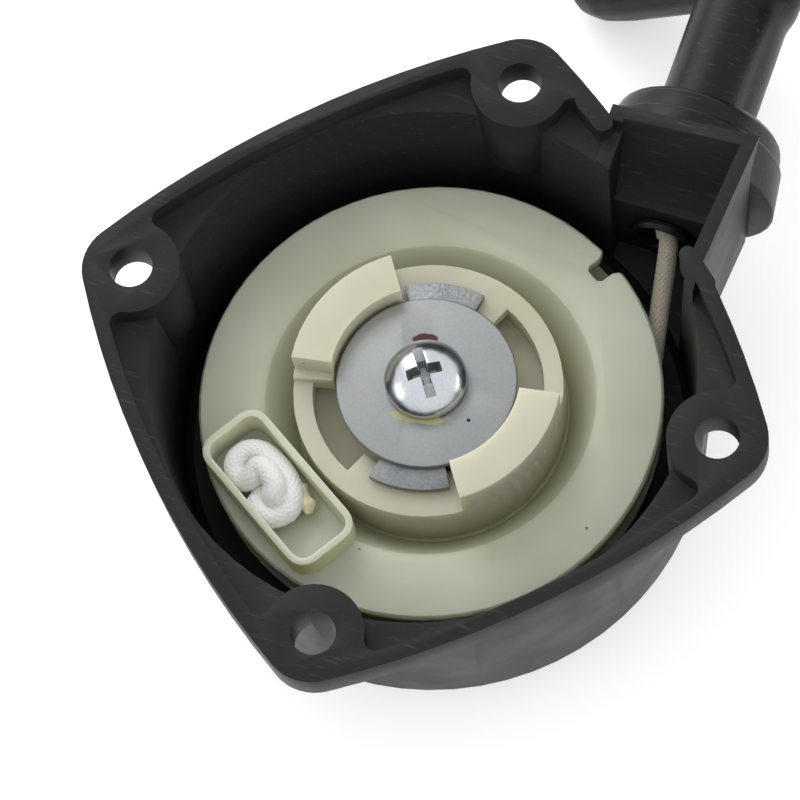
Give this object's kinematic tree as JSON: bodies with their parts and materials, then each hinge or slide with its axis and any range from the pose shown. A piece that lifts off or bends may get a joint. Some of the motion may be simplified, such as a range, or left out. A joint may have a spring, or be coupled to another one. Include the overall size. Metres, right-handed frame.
{
  "type": "recoil starter",
  "caption": "Pull starter for a small engine: bowl-shaped housing with corner screw ears, sprung rope reel, two-dog starter cam and T-handle on a rope.",
  "frame": {"origin": "on the reel axis, on the flat back face of the housing", "axes": "+Z out of the open side towards the engine, +Y the direction in which the handle is pulled"},
  "size_m": [0.1067, 0.1431, 0.0464],
  "materials": {
    "housing_nylon": "moulded glass-filled nylon, matte",
    "grip_plastic": "moulded, satin",
    "reel_nylon": "natural nylon, translucent, satin",
    "cam_nylon": "cream nylon, satin",
    "zinc_steel": "zinc plated, dull",
    "screw_zinc": "bright zinc plated",
    "spring_steel": "oiled spring steel",
    "brass": "turned",
    "rope": "braided, used",
    "knot_rope": "braided, clean",
    "singed_rope": "melted rope end"
  },
  "bodies": {
    "housing": {"starter_housing": "housing_nylon", "rope_eyelet": "grip_plastic", "spindle_insert": "brass", "thrust_washer": "zinc_steel", "recoil_spring": "spring_steel", "retaining_disc": "zinc_steel", "spindle_screw": "screw_zinc", "rope_run": "rope"},
    "reel": {"rope_reel": "reel_nylon", "rope_winding": "rope", "rope_knot": "knot_rope", "rope_tail": "singed_rope", "buffer_spring": "spring_steel"},
    "cam": {"starter_cam": "cam_nylon", "tab_plate": "zinc_steel"},
    "pulled_rope": {"rope_in_handle": "rope", "handle_knot": "knot_rope", "knot_washer": "zinc_steel"},
    "handle": {"handle_grip": "grip_plastic", "handle_collar": "grip_plastic", "handle_cap": "grip_plastic"}
  },
  "joints": [
    {"name": "handle_pull", "type": "slide", "parent": "housing", "child": "pulled_rope", "axis": [0, 1, 0], "range_m": [0, 0.44], "deforming": ["rope_run"]},
    {"name": "reel_spin", "type": "hinge", "parent": "housing", "child": "reel", "pos_m": [0, 0, 0.012], "axis": [0, 0, 1], "range_deg": [0, 870], "stiffness_Nm_per_rad": 0.012, "springref_deg": -721.93, "deforming": ["rope_winding", "recoil_spring"]},
    {"name": "cam_windup", "type": "hinge", "parent": "reel", "child": "cam", "pos_m": [0, 0, 0.015], "axis": [0, 0, 1], "range_deg": [-150, 0], "stiffness_Nm_per_rad": 0.02, "deforming": ["buffer_spring"]},
    {"name": "handle_swivel", "type": "hinge", "parent": "pulled_rope", "child": "handle", "pos_m": [0.0238, 0.06, 0.012], "axis": [0, 1, 0], "continuous": true}
  ],
  "couplings": [
    {"joint": "reel_spin", "follows": "handle_pull", "rad_per_m": 34.5}
  ]
}
